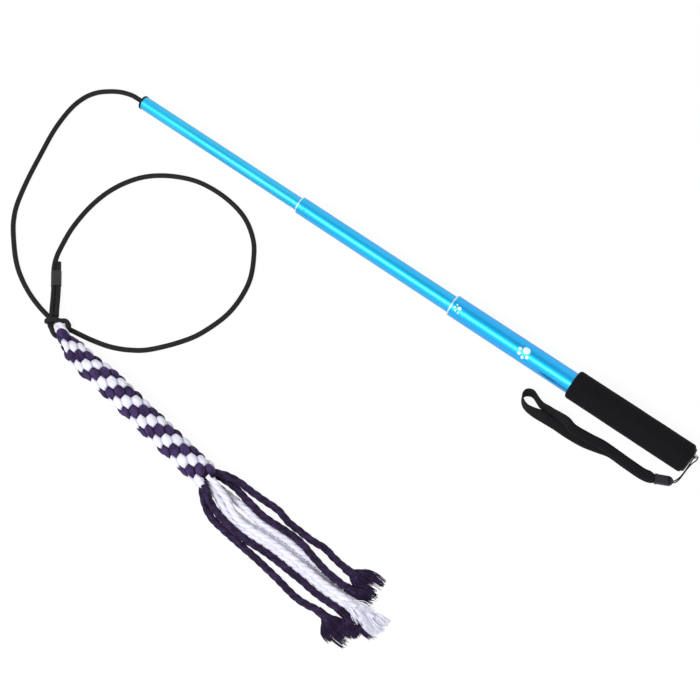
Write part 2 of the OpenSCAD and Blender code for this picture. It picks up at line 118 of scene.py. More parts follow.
# %% [markdown]
# ## Sweeping a section along a line
# Cords, strands, string and webbing are all one section carried along a route. The route's few points are
# joined by a smooth curve that goes through each of them, then spaced evenly. The section's side and up
# directions are carried from point to point without twisting, and the texture coordinates are real metres
# along and around.

# %% Curve and sweep helpers
def smooth(points, steps):
    out = []
    last = len(points) - 1
    for i in range(last):
        a, b, c, d = points[max(i - 1, 0)], points[i], points[i + 1], points[min(i + 2, last)]
        for k in range(steps):
            t = k / steps
            out.append(0.5 * (2 * b + (c - a) * t + (2 * a - 5 * b + 4 * c - d) * t * t
                              + (3 * b - a - 3 * c + d) * t ** 3))
    return out + [points[last]]


def length_of(path):
    return sum((b - a).length for a, b in zip(path, path[1:]))


def spaced(path, step):
    count = max(2, round(length_of(path) / step))
    gap = length_of(path) / count
    out, walked = [path[0]], 0.0
    for a, b in zip(path, path[1:]):
        part = (b - a).length
        while len(out) < count and walked + part >= gap * len(out):
            out.append(a.lerp(b, (gap * len(out) - walked) / part))
        walked += part
    return out + [path[-1]]


def carried(path):
    rings, walked, side = [], 0.0, None
    for i, point in enumerate(path):
        ahead = (path[min(i + 1, len(path) - 1)] - path[max(i - 1, 0)]).normalized()
        if side is None:
            side = ahead.cross(Vector((0, 0, 1)))
            side = side if side.length > 0.01 else Vector((0, 1, 0))
        side = (side - ahead * side.dot(ahead)).normalized()
        walked += (point - path[i - 1]).length if i else 0.0
        rings.append((point, side, side.cross(ahead), walked))
    return rings


def new_stock():
    return {"verts": [], "faces": [], "uvs": [], "crease_shades": []}


def walls(base, count, sides):
    quads = []
    for i in range(count - 1):
        low, high = base + i * sides, base + (i + 1) * sides
        for k in range(sides):
            n = (k + 1) % sides
            quads.append((low + k, high + k, high + n, low + n))
    return quads


def caps(base, count, sides):
    end = base + (count - 1) * sides
    return [tuple(range(base, base + sides)), tuple(range(end + sides - 1, end - 1, -1))]


def sweep(stock, path, section, sides, around, rings=None):
    rings = rings or carried(path)
    base = len(stock["verts"])
    for point, side, up, s in rings:
        for k in range(sides):
            # A section may give a third value, the share of painted shade at that point.
            across, height, *crease = section(s, 2 * math.pi * k / sides)
            stock["verts"].append(point + side * across + up * height)
            stock["crease_shades"].append(crease[0] if crease else 0.0)
    stock["faces"] += walls(base, len(rings), sides) + caps(base, len(rings), sides)
    for i in range(len(rings) - 1):
        u0, u1 = rings[i][3], rings[i + 1][3]
        for k in range(sides):
            v0, v1 = around * k / sides, around * (k + 1) / sides
            stock["uvs"] += [(u0, v0), (u1, v0), (u1, v1), (u0, v1)]
    stock["uvs"] += [(rings[0][3], 0.0)] * sides + [(rings[-1][3], 0.0)] * sides


def piece(name, stock, material, body):
    mesh = bpy.data.meshes.new(name)
    mesh.from_pydata(stock["verts"], [], stock["faces"])
    layer = mesh.uv_layers.new(name="metres")
    for corner, uv in zip(layer.data, stock["uvs"]):
        corner.uv = uv
    # The painted shade shares go to the mesh as an attribute that the rope finish reads.
    if any(stock["crease_shades"]):
        mesh.attributes.new("crease", "FLOAT", "POINT").data.foreach_set("value", stock["crease_shades"])
    mesh.polygons.foreach_set("use_smooth", [True] * len(mesh.polygons))
    mesh.materials.append(material)
    obj = bpy.data.objects.new(name, mesh)
    bpy.context.scene.collection.objects.link(obj)
    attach(obj, body)
    return obj


def round_section(radius):
    return lambda s, a: (radius * math.cos(a), radius * math.sin(a))


def laid_cord(name, path, diameter, sides, material, body):
    stock = new_stock()
    sweep(stock, path, round_section(diameter / 2 * MM), sides, math.pi * diameter * MM)
    return piece(name, stock, material, body)


# %% [markdown]
# ## Fabric finishes
# A braided cover, a twisted rope and a woven strap all show threads. Their texture coordinates are in metres,
# so a thread's spacing in millimetres is a plain division. Threads this fine are close to a pixel, so
# they are drawn a little coarser than real where the view needs them to show.

# %% Polyester cover, braided over the elastic cord
def crossed_threads(tree, phases, thread_mm):
    waves = []
    for phase, pitch in zip(phases, thread_mm):
        turned = add(tree, "ShaderNodeMath", {0: phase, 1: math.pi / (pitch * MM)}, operation="MULTIPLY")
        waves.append(add(tree, "ShaderNodeMath", {0: turned.outputs[0]}, operation="SINE").outputs[0])
    crossed = add(tree, "ShaderNodeMath", {0: waves[0], 1: waves[1]}, operation="MULTIPLY")
    return add(tree, "ShaderNodeMapRange", {0: crossed.outputs[0], 1: -1.0, 2: 1.0}).outputs[0]


def braided_cover(name, thread_mm, dark, light):
    material, tree = start_finish(name)
    uv = add(tree, "ShaderNodeSeparateXYZ", {0: add(tree, "ShaderNodeUVMap").outputs[0]}).outputs
    slants = []
    for sign in (1.0, -1.0):
        slant = add(tree, "ShaderNodeMath", {0: uv[1], 1: sign, 2: uv[0]}, operation="MULTIPLY_ADD")
        slants.append(slant.outputs[0])
    threads = crossed_threads(tree, slants, (thread_mm, thread_mm))
    colour = add(tree, "ShaderNodeMix", {0: threads, 6: linear(dark), 7: linear(light)}, data_type="RGBA")
    bump = add(tree, "ShaderNodeBump", {"Strength": 0.5, "Distance": 0.2 * MM, "Height": threads})
    end_finish(tree, Base_Color=colour.outputs[2], Roughness=0.7, Specular_IOR_Level=0.2,
               Normal=bump.outputs[0])
    return material


cord_cover = braided_cover("polyester cover, braided", 0.9, "#101011", "#232325")
string_cover = braided_cover("polyester string, braided", 0.5, "#0e0e0f", "#1b1b1d")

# %% Cotton rope, twisted
YARN_MM, YARN_RUN_MM = 0.909, 11.11
PATCH_MM = 8.333
COTTON_FUZZ = 0.03


def cotton_rope(name, dark, light, painted_shade):
    material, tree = start_finish(name)
    uv = add(tree, "ShaderNodeUVMap").outputs[0]
    along_yarn = (per_metre(YARN_RUN_MM), per_metre(YARN_MM), 1.0)
    stretched = add(tree, "ShaderNodeMapping", {"Vector": uv, "Scale": along_yarn})
    yarns = add(tree, "ShaderNodeTexNoise", {"Vector": stretched.outputs[0], "Scale": 1.0, "Detail": 3.0})
    patches = add(tree, "ShaderNodeTexNoise", {"Vector": uv, "Scale": per_metre(PATCH_MM), "Detail": 2.0})
    tone = add(tree, "ShaderNodeMath", {0: yarns.outputs[0], 1: patches.outputs[0]}, operation="ADD")
    mask = add(tree, "ShaderNodeMapRange", {0: tone.outputs[0], 1: 0.78, 2: 1.22})
    colour = add(tree, "ShaderNodeMix", {0: mask.outputs[0], 6: linear(dark), 7: linear(light)},
                 data_type="RGBA")
    # Painted shade: where the attribute read here runs high, in ply grooves and at pillow rims, the colour
    # turns to the painted shade colour.
    crease = add(tree, "ShaderNodeAttribute", attribute_name="crease")
    painted_shade_share = add(tree, "ShaderNodeMapRange", {0: crease.outputs["Fac"], 1: 0.74, 2: 1.02},
                interpolation_type="SMOOTHSTEP")
    colour = add(tree, "ShaderNodeMix", {0: painted_shade_share.outputs[0], 6: colour.outputs[2], 7: linear(painted_shade)},
                 data_type="RGBA")
    bump = add(tree, "ShaderNodeBump", {"Strength": 0.6, "Distance": 0.35 * MM, "Height": yarns.outputs[0]})
    end_finish(tree, Base_Color=colour.outputs[2], Roughness=0.92, Specular_IOR_Level=0.15,
               Sheen_Weight=COTTON_FUZZ, Sheen_Roughness=0.6, Normal=bump.outputs[0])
    return material


# The third colour of each rope is painted shade for its grooves and creases.
purple_rope = cotton_rope("cotton rope, purple dyed", "#251838", "#4a3768", "#130920")
white_rope = cotton_rope("cotton rope, bleached", "#dcdbec", "#f2f1fb", "#bcbcd2")
# A darker copy of the purple rope for the loose strands: their self-shade is painted into all three colours.
purple_rope_self_shaded = cotton_rope("cotton rope, purple dyed, painted self-shade", "#170e22", "#3a2b50", "#0d0715")
print("fabric finishes:", cord_cover.name, "/", purple_rope.name, "/", white_rope.name)

# %% [markdown]
# ## The elastic cord
# The cord is the first thing to lay, because its length is fixed. It leaves the plug straight, sinks to the
# floor, goes round in one loose loop and ends doubled back on itself at the hitch. Its points are x from the
# tip's end, y, and lift above lying on the floor. The cover is a little fuller than the cord's solid and lies
# within 2 mm of it: above the sleeve it leans against the returned end.

# %% Cord route
cord_d = 4.7
cord_r = cord_d / 2
CORD_SIDES = 14
tip_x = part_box("tip_plug")[1].x / MM
plug_depth = 10
floor = floor_z / MM
cord_start = [(-plug_depth, 0, 0), (0, 0, 0), (6, 0, 0), (15, 0, -1.4)]
cord_route = [
    (28, 3, 7.5), (41, 9.2, 4), (50, 16, 1.2), (56, 27, 0), (58, 44, 0), (55, 70, 0), (47, 100, 0),
    (39, 127, 0), (30, 151, 0), (22, 165, 0), (12, 177, 0), (-7, 195, 0), (-23, 206, 0), (-43, 215, 0),
    (-64, 220.5, 0), (-82, 222, 0), (-98, 219.5, 0), (-118, 216, 0), (-136, 211, 0), (-152, 203, 0),
    (-166, 192, 0), (-183.5, 170, 0), (-194, 150, 0), (-201, 120, 0), (-197, 88, 0), (-183, 62, 0),
    (-169, 47, 0), (-150, 36, 0), (-127, 31, 0), (-104, 31, 0), (-84, 35.5, 0), (-62, 47, 0), (-45, 63, 0),
    (-33, 86, 0), (-28, 112, 0), (-29, 140, 0)]
hitch_at = Vector((tip_x - 81.4, 223.6, floor))
splice_dir = Vector((0.65, -0.76, 0))
splice_side = Vector((0.76, 0.65, 0))
strand_gap = 2.15
splice_lift = 0.65
over_stub = [(77, 0, -1.7), (66, 0.4, 0.2)]
stub_end = 62
splice_run = [(56, splice_lift), (46, splice_lift), (36, splice_lift), (24, 3), (13, 5.9), (4.8, 6.9)]


def splice_point(distance, lift, side):
    lying = hitch_at + Vector((0, 0, cord_r + lift))
    return (lying + splice_dir * distance + splice_side * side * strand_gap) * MM


# %% Elastic cord pieces
start = [Vector((tip_x + x, y, z)) * MM for x, y, z in cord_start]
lying = [Vector((tip_x + x, y, floor + cord_r + lift)) * MM for x, y, lift in cord_route]
spliced = [splice_point(*q) for q in over_stub] + [splice_point(*q, 1) for q in splice_run]
pull_path = spaced(smooth(start + lying + spliced, 16), 2 * MM)
pull_cord = laid_cord("pull_cord_cover", pull_path, cord_d, CORD_SIDES, cord_cover, "tip")
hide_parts("pull_cord")

returned = [splice_point(*q, -1) for q in reversed(splice_run)]
returned.append(splice_point(stub_end, splice_lift, -1))
return_path = spaced(smooth(returned, 12), 1.5 * MM)
return_cord = laid_cord("return_cord_cover", return_path, cord_d, CORD_SIDES, cord_cover, "tip")
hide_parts("return_cord")
print("pull cord", round(length_of(pull_path), 3), "m, returned end", round(length_of(return_path), 3), "m")

# %% [markdown]
# ## The strap's string
# A thin string is looped through the clip and round the staple's bar. It is one line out and back, so
# both of its ends are inside the clip.

# %% String
wire_r = 0.8
bar_x, bar_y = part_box("staple")[0].x / MM + wire_r, -5.5
string_d = 1.1
STRING_SIDES = 10
bar_gap = 0.15
bend_r = wire_r + string_d / 2 + bar_gap
clip_mid = 2.3
string_leg = 2.2
string_run = [
    (7.1, 21.3, 0), (4.4, 19.8, 0), (2.8, 17.4, 0.05), (1.7, 14, 0.15), (1.2, 10, 0.31), (1.1, 5.5, 0.53),
    (1.3, 0, 0.8), (bend_r, bar_y + string_leg, 0.97), (bend_r, bar_y, 1),
    (0.7 * bend_r, bar_y - 0.7 * bend_r, 1), (0, bar_y - bend_r, 1), (-0.7 * bend_r, bar_y - 0.7 * bend_r, 1),
    (-bend_r, bar_y, 1), (-bend_r, bar_y + string_leg, 0.93), (-0.2, 0, 0.7), (0.6, 5.5, 0.41),
    (0.8, 10.2, 0.19), (1, 14.4, 0.05), (1.8, 18.3, 0), (3.4, 20.9, 0), (6.5, 22.4, 0)]
string_points = [Vector((bar_x + x, y, (floor + clip_mid) * (1 - rise))) * MM for x, y, rise in string_run]
string_path = spaced(smooth(string_points, 10), 0.5 * MM)
strap_string = laid_cord("strap_string_cover", string_path, string_d, STRING_SIDES, string_cover, "strap")
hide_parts("strap_string")
print("string", round(length_of(string_path), 4), "m")

# %% [markdown]
# ## The lure's loose strands
# Behind the braid the eight rope strands lie loose. Each is three plies twisted together, so its section has
# three lobes that turn along its length, and its end is frayed into tufts of yarns. Real yarns are finer
# and far more than these, so each yarn here stands for several.

# %% Strand routes: back from the braid's end, across, and lift above lying on the floor
strand_d = 6.6
strand_low = 3.1
ply_pitch = 24.0
braid_at = Vector((tip_x - 109.6, 233.2, 0))
braid_dir = Vector((-0.991, 0.133, 0))
braid_length = 176.0
braid_end = braid_at + braid_dir * braid_length
tails = {
    "purple_1": [
        (2.4, -6.6, 12), (12, -11.1, 9.5), (24, -13.6, 7), (36, -13.8, 4), (50, -14.4, 1.2), (65, -15, 0),
        (78, -12, 0), (90, -11.4, 0), (104, -11, 0), (117, -12, 0), (128, -10, 0), (142, -8.6, 0),
        (154, -9, 0)],
    "purple_2": [
        (2.2, -6.6, 5), (12, -8.4, 3.2), (24, -8.6, 1.6), (36, -6.4, 1.6), (46, -4.8, 2.6), (56, -3, 3.2),
        (66, -2.8, 3.6), (76, -3.6, 3), (90, -4.4, 1.2), (102, -2.8, 3.8), (112, 0, 5.6), (122, 2.2, 6.1),
        (132, 4, 6.1), (142, 4.6, 5.6), (152, 4, 2.4), (160, 3.4, 0.4)],
    "purple_3": [
        (1.8, 5.6, 14.7), (10, 11.4, 13), (18, 15.8, 9.4), (28, 19, 6), (38, 20.8, 4.6), (49, 21.8, 2.9),
        (60, 21.7, 1), (72, 20.6, 0), (82, 20.2, 0), (94, 20.4, 0), (106, 21, 0), (118, 21.4, 0),
        (128, 22.4, 0), (138, 22.8, 0), (148, 22.4, 0), (158, 22.3, 0), (166, 23.6, 0), (172, 26, 0)],
    "purple_4": [
        (1.8, 8.6, 8.5), (8, 15, 6.8), (16, 20.8, 3.6), (25, 24.4, 1), (36, 25.8, 0), (46, 26.8, 0),
        (56, 27.6, 0), (66, 28.4, 0), (76, 29.2, 0), (88, 30.6, 0), (102, 32.4, 0), (114, 34.4, 0),
        (124, 35.4, 0), (133, 34.8, 0), (141, 33.4, 0), (150, 33.6, 0), (158, 36, 0)],
    "white_1": [
        (1.8, -1.2, 16.3), (14, 1.6, 13.6), (26, 5, 10), (36, 10, 7.4), (47, 12.8, 5.7), (58, 12.5, 5.4),
        (70, 11.3, 5.4), (82, 10.9, 5.4), (94, 11.1, 5.4), (106, 11.7, 5.4), (118, 12.1, 5.4),
        (130, 12.9, 5.4), (142, 13.1, 5.4), (154, 12.9, 5.4), (168, 13.2, 5.4)],
    "white_2": [
        (1.8, 0.6, 8.5), (12, 4.9, 7.6), (24, 10.4, 5.8), (36, 15.1, 2.2), (47, 16.4, 0), (58, 15.7, 0),
        (70, 14.4, 0), (82, 14, 0), (94, 14.2, 0), (106, 14.8, 0), (118, 15.2, 0), (130, 16, 0),
        (142, 16.2, 0), (154, 16, 0), (166, 16.4, 0), (178, 18.4, 0)],
    "white_3": [
        (1.8, -1.2, 0.7), (14, -0.6, 0.1), (28, -0.2, 0), (40, 0.2, 0), (50, 1.4, 0), (60, 2.6, 0),
        (70, 1.9, 0), (82, 1.5, 0), (94, 1.7, 0), (106, 2.3, 0), (118, 2.7, 0), (128, 3.3, 0), (134, 3.8, 0)],
    "white_4": [
        (1.6, 5.6, 2.3), (14, 6, 0.6), (28, 8, 0), (40, 9.5, 0), (50, 9.8, 0), (58, 9.3, 0), (70, 8.2, 0),
        (82, 7.8, 0), (94, 8, 0), (106, 8.6, 0), (118, 9, 0), (130, 9.8, 0), (142, 10, 0), (154, 9.8, 0),
        (168, 10, 0), (184, 11.4, 0)]}

# %% Twisted section and frayed end
PLIES = 3
PLY_GROOVE = 0.2
PLY_GROOVE_SHADE = 0.98


def rope_section(radius, pitch, phase=0.0):
    half = math.pi / PLIES

    def section(s, a):
        turned = a - 2 * math.pi * s / pitch - phase
        off = ((turned + half) % (2 * half) - half) / half
        r = radius * (1 - PLY_GROOVE * off * off)
        # The third value is painted shade, strongest in the grooves between the plies.
        return r * math.cos(a), r * math.sin(a), PLY_GROOVE_SHADE * abs(off)

    return section


TUFTS = 7
TUFT_SPREAD = 0.75
SCATTER_ACROSS = 0.14
SCATTER_UP = 0.25
YARN_STEPS = 10
YARN_SIDES = 5
YARN_ROUND = 3
YARN_TAPER = 0.55
YARN_CLEAR = 0.5
OPENING = 1.3
FLATTENING = 0.55
SINKING = 0.75


def frayed_end(name, path, seed, material, slot, yarns, reach, wide, bend, root):
    rng = random.Random(seed)
    rings = carried(path)
    _, end_side, end_up, total = rings[-1]
    end_ahead = end_up.cross(end_side)
    step = total / (len(rings) - 1)
    rooted = root * MM
    stock = new_stock()
    tufts = []
    for i in range(TUFTS):
        middle = -TUFT_SPREAD + 2 * TUFT_SPREAD * i / (TUFTS - 1)
        tufts.append((middle, rng.uniform(-0.6, 0.6), rng.uniform(0.45, 1.0), rng.uniform(-1, 1)))
    for i in range(yarns):
        middle, rise, share, sway = tufts[i % TUFTS]
        across = middle + rng.gauss(0, SCATTER_ACROSS)
        height = rise + rng.gauss(0, SCATTER_UP)
        far = rooted + reach * share * rng.uniform(0.72, 1.0) * MM
        wave = sway + rng.uniform(-0.4, 0.4)
        line = []
        for k in range(YARN_STEPS + 1):
            gone = k / YARN_STEPS * far
            loose = max(0.0, (gone - 0.5 * rooted) / (far - 0.5 * rooted))
            opened = math.sin(math.pi / 2 * min(1.0, OPENING * loose))
            width = strand_d / 2 + (wide - strand_d / 2) * opened
            back = min(int(max(0.0, rooted - gone) / step), len(rings) - 1)
            at, side, up, _ = rings[len(rings) - 1 - back]
            past = max(0.0, gone - rooted)
            at = at + end_ahead * past + end_side * bend * past * past / (reach * MM)
            at = at + side * (across * width + wave * loose * (1 - loose) * 4) * MM
            at = at + up * height * strand_d / 2 * (1 - FLATTENING * loose) * MM
            at.z -= (at.z - floor_z) * SINKING * loose * loose
            at.z = max(at.z, floor_z + YARN_CLEAR * MM)
            line.append(at)
        thick = rng.uniform(0.4, 0.62) * MM
        long = length_of(line)

        def taper(s, a):
            r = thick * (1 - YARN_TAPER * s / long)
            return r * math.cos(a), r * math.sin(a)

        sweep(stock, line, taper, YARN_SIDES, YARN_ROUND * MM)
    return piece(name, stock, material, "lure")


# %% Strand pieces: a fray has a number of yarns, a reach, a half width, a bend and a rooted length
fray_shape = {
    "purple_1": (170, 24, 11, 0, 14), "purple_2": (130, 20, 9, -0.1, 10),
    "purple_3": (150, 22, 9, -0.3, 16), "purple_4": (180, 25, 12, -0.25, 16),
    "white_1": (120, 24, 10, 0.35, 12), "white_2": (110, 20, 8, -0.15, 10),
    "white_3": (70, 14, 5, 0, 9), "white_4": (110, 18, 8, -0.1, 10)}
FIRST_SEED = 40
STRAND_SIDES = 24
for number, (name, run) in enumerate(tails.items()):
    # Purple strands take the darker copy with painted self-shade.
    dye = purple_rope_self_shaded if name.startswith("purple") else white_rope
    slot = name.split("_")[0] + "_rope"
    points = [Vector((braid_end.x - back, braid_end.y + across, floor + strand_low + lift)) * MM
              for back, across, lift in run]
    path = spaced(smooth(points, 8), 1.2 * MM)
    stock = new_stock()
    twisted = rope_section(strand_d / 2 * MM, ply_pitch * MM, number)
    sweep(stock, path, twisted, STRAND_SIDES, math.pi * strand_d * MM)
    strand = piece("strand_" + name, stock, dye, "lure")
    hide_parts("tail_" + name)
    brush = frayed_end("fray_" + name, path, FIRST_SEED + number, dye, slot, *fray_shape[name])
    print("strand", name, round(length_of(path), 3), "m")

# %% [markdown]
# ## The braid
# The lure's body is a round braid of eight strands. Every strand shows as a row of pillows where it passes
# over another. A strand's way below the others is hidden, so each pillow is a domed patch of its own, set on
# a lattice: four on a level, and each level turned by 40 degrees. Two rows of white and two of purple then
# wind round the lure, as they do on the real one. Each pillow darkens towards its rim with painted shade,
# and a core in the painted shade colour closes the gaps between the pillows.

# %% Braid lattice
braid_low, braid_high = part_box("lure_braid")
braid_r = (braid_high.z - braid_low.z) / 2 / MM
head_r = 8.2
taper_length = 7.5
head_slim, slim_length = 1.9, 45.0
head_bend, bend_length = 1.6, 42.0
level_pitch = 5.65
first_level = 0.55
level_turn = math.radians(40)
white_phase = math.radians(144)
crease_depth = 2.1
pillow_stretch = 1.32
pillow_corner = 9
pillow_dome = 2.3
pillow_root = 0.4
uneven_scale, uneven_depth = 300, 0.12
braid_mid = Vector((braid_at.x, braid_at.y, floor + braid_r))
braid_across = Vector((-0.133, -0.991, 0))
UP = Vector((0, 0, 1))
nearest = [(1, level_turn), (2, 2 * level_turn - math.pi / 2), (1, level_turn - math.pi / 2)]
steps_to_nearest = [Vector((levels * level_pitch, turn * braid_r)) for levels, turn in nearest]
row_way = steps_to_nearest[0].normalized()
strand_way = Vector((row_way.y, -row_way.x))


def braid_radius(s):
    slim = math.cos(math.pi / 2 * min(max(s / slim_length, 0.0), 1.0))
    full = braid_r - head_slim * slim
    grown = min(max(s / taper_length, 0.0), 1.0)
    return head_r + (full - head_r) * math.sin(math.pi / 2 * grown)


def braid_line(s):
    bent = math.sin(math.pi * min(max(s / bend_length, 0.0), 1.0))
    return braid_mid + braid_dir * s - braid_across * head_bend * bent


def on_braid(s, turn, radius):
    return (braid_line(s) + (UP * math.cos(turn) + braid_across * math.sin(turn)) * radius) * MM


def rim_of_pillow(angle):
    way = Vector((math.cos(angle), math.sin(angle)))
    shares = []
    for step in steps_to_nearest:
        squeezed = Vector((step.dot(row_way), step.dot(strand_way) / pillow_stretch))
        shares.append(abs(way.dot(squeezed)) * 2 / squeezed.length_squared)
    reach = 1 / sum(share ** pillow_corner for share in shares) ** (1 / pillow_corner)
    return row_way * way.x * reach + strand_way * way.y * reach * pillow_stretch


PILLOW_SIDES = 30
PILLOW_RINGS = (0.16, 0.32, 0.48, 0.63, 0.76, 0.87, 0.96, 1.04, 1.13, 1.26)
pillow_rim = [rim_of_pillow(2 * math.pi * k / PILLOW_SIDES) for k in range(PILLOW_SIDES)]


def pillow(stock, s0, turn0, rng):
    base = len(stock["verts"])
    lift = rng.uniform(-0.25, 0.25)
    shift = Vector((rng.random(), rng.random()))
    flat = [(Vector((0, 0)), 0.0)]
    for share in PILLOW_RINGS:
        flat += [(rim * share, share) for rim in pillow_rim]
    for (along, across), share in flat:
        s, turn = s0 + along, turn0 + across / braid_r
        scale = braid_radius(s) / braid_r
        at = on_braid(s, turn, braid_radius(s) + (lift - crease_depth * share ** pillow_dome) * scale)
        stock["verts"].append(at + noise.noise_vector(at * uneven_scale) * uneven_depth * MM)
        # Each point's share of the pillow's reach is kept as painted shade, darkest at the rim where pillows
        # meet.
        stock["crease_shades"].append(share)
    # The sunk centre under the pillow takes full painted shade.
    stock["verts"].append(on_braid(s0, turn0, braid_radius(s0) * pillow_root))
    stock["crease_shades"].append(1.0)
    flat.append((Vector((0, 0)), 1.0))
    root = len(stock["verts"]) - 1
    last = len(PILLOW_RINGS) - 1
    quads = []
    for k in range(PILLOW_SIDES):
        n = (k + 1) % PILLOW_SIDES
        quads.append((base, base + 1 + k, base + 1 + n))
        for i in range(last):
            low, high = base + 1 + i * PILLOW_SIDES, base + 1 + (i + 1) * PILLOW_SIDES
            quads.append((low + k, high + k, high + n, low + n))
        rim = base + 1 + last * PILLOW_SIDES
        quads.append((rim + n, rim + k, root))
    stock["faces"] += quads
    for quad in quads:
        for v in quad:
            place = flat[v - base][0]
            stock["uvs"].append(((shift.x * 100 + place.dot(strand_way)) * MM,
                                 (shift.y * 100 + place.dot(row_way)) * MM))


# %% Braid pieces
ROWS = 4
CORE_SINK = 3.2
CORE_SIDES = 24
CORE_ROUND = 40
BRAID_SEED = 8
white_stock, purple_stock = new_stock(), new_stock()
rng = random.Random(BRAID_SEED)
# Without a seed of its own the noise starts from the clock and differs each run
noise.seed_set(BRAID_SEED)
level_count = int((braid_length - first_level) / level_pitch) + 1
for level in range(level_count):
    s0 = first_level + level * level_pitch
    row = white_phase + level_turn * s0 / level_pitch
    for k in range(ROWS):
        target = white_stock if k % 2 == 0 else purple_stock
        pillow(target, s0, row + k * math.pi / 2, rng)
core_path = [braid_line(s) * MM for s in (2, 8, 14, 22, 40, 60, 120, 172)]


def core_section(s, a):
    r = (braid_radius(s / MM) - CORE_SINK) * MM
    # The core takes full painted shade, so the gaps between pillows show the shade colour.
    return r * math.cos(a), r * math.sin(a), 1.0


sweep(purple_stock, core_path, core_section, CORE_SIDES, CORE_ROUND * MM)
braid_purple = piece("braid_purple_pillows", purple_stock, purple_rope, "lure")
piece("braid_white_pillows", white_stock, white_rope, "lure")
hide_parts("lure_braid")
print("braid pillows:", level_count * ROWS)

# %% [markdown]
# ## The lure's neck and the noose
# At the head a white bight sticks out through the noose, with a purple strand wound round it. The cord's
# noose goes round this neck, and a turn of it crosses over the doubled cord and tightens on itself.

# %% Neck
neck_mid = Vector((tip_x - 94, 227, floor + 10.6))
neck_along = Vector((0.947, -0.321, 0))
neck_across = Vector((0.321, 0.947, 0))


def on_neck(along, across, height):
    flat = neck_mid + neck_along * along + neck_across * across
    return Vector((flat.x, flat.y, floor + height)) * MM


bight = [on_neck(*p) for p in (
    (-13, 1.8, 10.6), (-7, 2.1, 10.8), (-2, 2.3, 11.2), (3, 2.3, 11.6), (6.2, 1.5, 11.4), (7, 0, 11.3),
    (6.2, -1.5, 11.4), (3, -2.3, 11.6), (-2, -2.3, 11.2), (-7, -2.1, 10.8), (-13, -1.8, 10.6))]
bight_r, bight_pitch, bight_round = 2.8, 18, 17
BIGHT_SIDES = 20
bight_path = spaced(smooth(bight, 10), 1 * MM)
stock = new_stock()
sweep(stock, bight_path, rope_section(bight_r * MM, bight_pitch * MM), BIGHT_SIDES, bight_round * MM)
neck_bight = piece("neck_bight", stock, white_rope, "lure")
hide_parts("lure_neck")

WRAP_STEPS = 24
WRAP_SIDES = 28
wrap_half_length = 8.5
wrap_r, wrap_round = 6.2, 36
wrap_blunt, wrap_closed = 3.5, 0.9
wrap_path = [on_neck(2.2 - 2 * wrap_half_length * i / WRAP_STEPS, 0.5 + 1.5 * i / WRAP_STEPS, 11)
             for i in range(WRAP_STEPS + 1)]
wrap_twist = rope_section(1.0, 60 * MM, 1.0)


def wrap_section(s, a):
    t = abs(s / (wrap_half_length * MM) - 1)
    r = wrap_r * (1 - wrap_closed * min(t, 1.0) ** wrap_blunt) ** 0.5 * MM
    # The third value is the painted shade of the ply grooves.
    x, y, crease = wrap_twist(s, a)
    return r * x, r * y, crease


stock = new_stock()
sweep(stock, wrap_path, wrap_section, WRAP_SIDES, wrap_round * MM)
piece("neck_wrap", stock, purple_rope, "lure")

# %% Noose
def by_hitch(along, across, height):
    at = hitch_at + splice_dir * along + splice_side * across
    return Vector((at.x, at.y, floor + height)) * MM


noose_points = [
    by_hitch(0.5, 6.6, 8.6), by_hitch(0, 5.6, 12), by_hitch(0, 2, 13.4), by_hitch(0, -2.4, 13.3),
    by_hitch(-1, -5.8, 11.6), on_neck(7, -7.6, 10.2), on_neck(4, -8.2, 9.8), on_neck(1.5, -7.6, 8.8),
    on_neck(-0.4, -3.2, 3.8), on_neck(-0.6, 0.4, 2.5), on_neck(0.4, 4.4, 3.2), on_neck(2, 6.4, 5.4),
    on_neck(4.8, 6.8, 7.4), on_neck(8, 6.2, 9.2), by_hitch(-2.8, 3.6, 9.6), by_hitch(-2.4, 0.4, 8.6)]
noose_path = spaced(smooth(noose_points, 12), 1 * MM)
noose_cord = laid_cord("noose_cord", noose_path, cord_d, CORD_SIDES, cord_cover, "lure")
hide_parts("noose", "hitch_knot")
print("noose", round(length_of(noose_path), 3), "m")

# %% [markdown]
# ## The wrist strap
# Flat webbing is a woven ribbon. It goes out from the clip, stands up in a small loop and comes back over
# itself. The ribbon's own stations give one edge and the way across to the other edge, so it can lie
# flat in one place and stand on edge in another.

# %% Woven polyester webbing finish
WEFT_SHARE = 0.8


def woven_webbing(name, thread_mm, dark, light):
    material, tree = start_finish(name)
    uv = add(tree, "ShaderNodeSeparateXYZ", {0: add(tree, "ShaderNodeUVMap").outputs[0]}).outputs
    weave = crossed_threads(tree, (uv[0], uv[1]), (thread_mm, thread_mm * WEFT_SHARE))
    colour = add(tree, "ShaderNodeMix", {0: weave, 6: linear(dark), 7: linear(light)}, data_type="RGBA")
    bump = add(tree, "ShaderNodeBump", {"Strength": 0.5, "Distance": 0.25 * MM, "Height": weave})
    end_finish(tree, Base_Color=colour.outputs[2], Roughness=0.75, Specular_IOR_Level=0.15,
               Normal=bump.outputs[0])
    return material


webbing = woven_webbing("polyester webbing, woven", 1.1, "#08080a", "#1f1f22")

